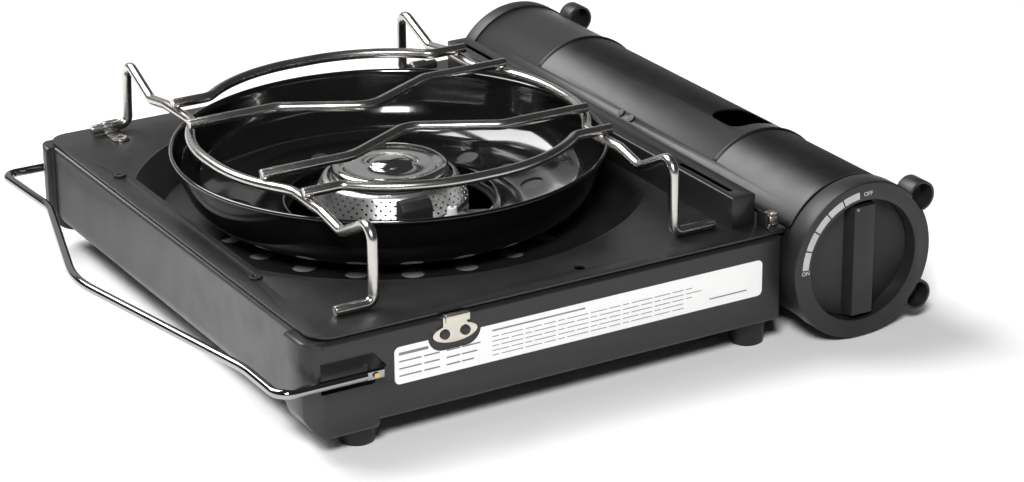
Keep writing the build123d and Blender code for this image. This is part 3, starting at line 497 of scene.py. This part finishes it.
def cover_lip():
    """The light rolled lip along the cover's front edge."""
    bpy.ops.object.select_all(action="DESELECT")
    bpy.ops.mesh.primitive_torus_add(
        major_segments=220, minor_segments=14, major_radius=LIP_RADIUS * MM,
        minor_radius=LIP_THICKNESS * MM, rotation=(math.radians(90), 0, 0),
        location=(DIAL[0] * MM, LIP_FRONT * MM, DIAL[1] * MM))
    lip = bpy.context.object
    lip.name = "cover_lip"
    settle(lip)
    edit(lip)
    bpy.ops.mesh.select_mode(type="VERT")
    leave()
    for point in lip.data.vertices:
        turn = math.degrees(math.atan2(point.co.z - DIAL[1] * MM, point.co.x - DIAL[0] * MM))
        point.select = not -3 < turn < 149
    bpy.ops.object.mode_set(mode="EDIT")
    bpy.ops.mesh.delete(type="VERT")
    bpy.ops.mesh.select_mode(type="EDGE")
    bpy.ops.mesh.select_all(action="DESELECT")
    bpy.ops.mesh.select_non_manifold()
    bpy.ops.mesh.edge_face_add()
    leave()
    recalculate(lip)
    only(lip)
    bpy.ops.object.shade_smooth_by_angle(angle=math.radians(50))
    take_up(lip, "black_plastic", "cover")


# Dial

def knob():
    """The knob, with a shallow finger scoop each side of its grip bar."""
    piece = copy_of("knob", "dial_knob_cap")
    for side in (-1, 1):
        x = DIAL[0] + side * SCOOP_CENTRE
        y = KNOB_FLOOR + SCOOP_DEPTH - SCOOP_RADIUS
        bpy.ops.object.select_all(action="DESELECT")
        bpy.ops.mesh.primitive_cylinder_add(
            vertices=256, radius=SCOOP_RADIUS * MM, depth=90 * MM, location=Vector((x, y, DIAL[1])) * MM)
        scoop = bpy.context.object
        settle(scoop)
        bpy.ops.mesh.primitive_cube_add(size=MM, location=(
            (DIAL[0] + side * (SCOOP_START + SCOOP_WIDTH)) * MM, (KNOB_FLOOR - 1) * MM, DIAL[1] * MM))
        span = bpy.context.object
        span.scale = (2 * SCOOP_WIDTH, 12, 100)
        settle(span)
        cut(scoop, span, "INTERSECT")
        cut(piece, scoop)
    ease_edges(piece, 0.8, 3)
    take_up(piece, "black_plastic", "dial_knob", "knob")


def dial_words():
    """ON and OFF beside the printed bars, as thin raised print."""
    for word, radius, angle, height in (("ON", 38.3, 179.8, 3.3), ("OFF", 38.6, 87.5, 3.3)):
        a = math.radians(angle)
        bpy.ops.object.select_all(action="DESELECT")
        bpy.ops.object.text_add()
        text = bpy.context.object
        text.data.body = word
        text.data.size = height * MM
        text.data.align_x = "CENTER"
        text.data.align_y = "CENTER"
        text.data.extrude = 0.05 * MM
        text.data.offset = 0.05 * MM
        bpy.ops.object.convert(target="MESH")
        text = bpy.context.object
        text.name = "dial_word_" + word.lower()
        x = DIAL[0] + radius * math.cos(a)
        z = DIAL[1] + radius * math.sin(a)
        place = (x, RING_FACE - 0.05, z)
        text.location = Vector(place) * MM
        text.rotation_euler = (math.radians(90), 0, 0)
        settle(text)
        take_up(text, "silver_print", "stove_body")


# Label

def label_lines():
    """Rows of plain grey dashes in place of the label's small print."""
    dashes = []

    def dash(x, z, length, height):
        """One flat dash that starts at x, in millimetres."""
        place = ((x + length / 2) * MM, (LABEL_FACE - 0.03) * MM, z * MM)
        bpy.ops.mesh.primitive_plane_add(size=1, location=place, rotation=(math.radians(90), 0, 0))
        piece = bpy.context.object
        piece.scale = (length * MM, height * MM, 1)
        settle(piece)
        dashes.append(piece)

    for row in range(3):
        z = 46.0 - 4.0 * row
        for start, length in ((-116.5, 13.0), (-102.0, 9.0), (-89.0, 8.0), (-80.0, 11.0 - 2 * row)):
            dash(start, z, length, 0.8)
    dash(-116.5, 50.2, 17.0, 1.6)
    dash(-62.0, 50.8, 56.0, 0.9)
    for row in range(5):
        z = 47.4 - 2.6 * row
        x, k = -62.0, row
        while x < 62 - 2 * row:
            length = 4.0 + 3.0 * ((k * 7 + row * 3) % 4)
            dash(x, z, length, 0.45)
            x += length + 1.4
            k += 1
    dash(72.0, 38.5, 24.0, 0.7)
    print_piece = join(dashes, "label_lines")
    modify(print_piece, "SOLIDIFY", thickness=0.03 * MM, offset=1)
    recalculate(print_piece)
    take_up(print_piece, "white_label", "stove_body")
    repaint(print_piece, GREY_PRINT)


# Pieces whose pressed or cut edges are eased: body, finish, edge radius in millimetres and CAD node

EASED = [
    ("stove_body", "black_coat", 0.5, "top_plate"),
    ("stove_body", "black_coat", 0.6, "partition_rail"),
    ("stove_body", "black_coat", 0.45, "casing"),
    ("stove_body", "nickel_plate", 0.3, "catch_plate"),
    ("stove_body", "black_steel", 0.3, "catch_rivets"),
    ("stove_body", "black_steel", 0.25, "earth_bracket"),
    ("stove_body", "nickel_plate", 0.3, "bracket_screw"),
    ("stove_body", "black_steel", 0.2, "plate_screws"),
    ("stove_body", "black_plastic", 0.7, "front_ring"),
    ("stove_body", "black_plastic", 0.6, "rear_cap"),
    ("stove_body", "rubber_black", 0.8, "rubber_feet"),
    ("stove_body", "dark_steel", 0.3, "electrode_guard"),
    ("stove_body", "white_ceramic", 0.4, "electrode_ceramic"),
    ("stove_body", "stainless_wire", 0.25, "trivet_clip_left"),
    ("stove_body", "stainless_wire", 0.25, "trivet_clip_right"),
    ("stove_body", "stainless_wire", 0.25, "clip_eyelets"),
    ("stove_body", "brass_metal", 0.25, "handle_rivets"),
    ("trivet", "stainless_wire", 0.45, "trivet_side_left"),
    ("trivet", "stainless_wire", 0.45, "trivet_side_right"),
    ("trivet", "stainless_wire", 0.45, "trivet_rod_front"),
    ("trivet", "stainless_wire", 0.45, "trivet_rod_back"),
    ("trivet", "stainless_wire", 0.45, "trivet_rod_middle_front"),
    ("trivet", "stainless_wire", 0.45, "trivet_rod_middle_back"),
    ("handle", "chrome_wire", 0.3, "carry_handle"),
    ("cover", "black_coat", 0.4, "cartridge_cover"),
]


def eased_pieces():
    """Shows each node of the list as a copy with softened edges."""
    for body, finish, width, node in EASED:
        piece = copy_of(node, node + "_eased")
        ease_edges(piece, width)
        take_up(piece, finish, body, node)
        if node == "cartridge_cover":
            repaint(piece, COVER_COAT)


drip_pan()
flame_band()
flame_cap()
heat_shields()
cover_lip()
knob()
dial_words()
label_lines()
eased_pieces()


# Floor, light and camera

def studio_floor():
    """A wide pale floor."""
    bpy.ops.object.select_all(action="DESELECT")
    bpy.ops.mesh.primitive_plane_add(size=14, location=(0, 0, 0))
    floor = bpy.context.object
    floor.name = "studio_floor"
    f = Finish("pale_floor", (0.92, 0.92, 0.92), 0.8)
    f.roughness(f.span(f.noise(4, 2), 0.75, 0.85))
    floor.data.materials.append(f.mat)


def softbox(name, at, towards, size, power):
    """A rectangular light at one place, aimed at another, in metres and watts."""
    light = bpy.data.lights.new(name, "AREA")
    light.shape = "RECTANGLE"
    light.size, light.size_y = size
    light.energy = power
    lamp = bpy.data.objects.new(name, light)
    bpy.context.scene.collection.objects.link(lamp)
    lamp.location = at
    lamp.rotation_euler = (Vector(towards) - Vector(at)).to_track_quat("-Z", "Y").to_euler()


def studio():
    """A dim white world, two softboxes and a long panel behind the stove."""
    world = bpy.data.worlds.new("studio")
    bpy.context.scene.world = world
    world.use_nodes = True
    background = world.node_tree.nodes["Background"]
    background.inputs["Color"].default_value = (1, 1, 1, 1)
    background.inputs["Strength"].default_value = 0.05
    softbox("key_softbox", (-1.0, 1.6, 2.4), (0, 0, 0), (2.0, 2.0), 120)
    softbox("front_softbox", (-1.3, -2.0, 2.1), (0, 0, 0), (0.7, 0.7), 85)
    softbox("back_panel", (0.9, 3.6, 1.1), (0, 0, 0.1), (5.5, 2.2), 15)


def camera():
    """The camera, at its place with its right and up directions."""
    data = bpy.data.cameras.new("camera")
    data.lens = CAMERA_LENS
    data.sensor_width = 36
    data.shift_x, data.shift_y = CAMERA_SHIFT
    data.clip_start = 0.05
    obj = bpy.data.objects.new("camera", data)
    bpy.context.scene.collection.objects.link(obj)
    right = CAMERA_RIGHT.normalized()
    back = right.cross(CAMERA_UP).normalized()
    up = back.cross(right)
    turn = Matrix((right, up, back)).transposed()
    obj.matrix_world = Matrix.Translation(CAMERA_AT) @ turn.to_4x4()
    bpy.context.scene.camera = obj


studio_floor()
studio()
camera()
bpy.context.scene.view_settings.view_transform = "Standard"
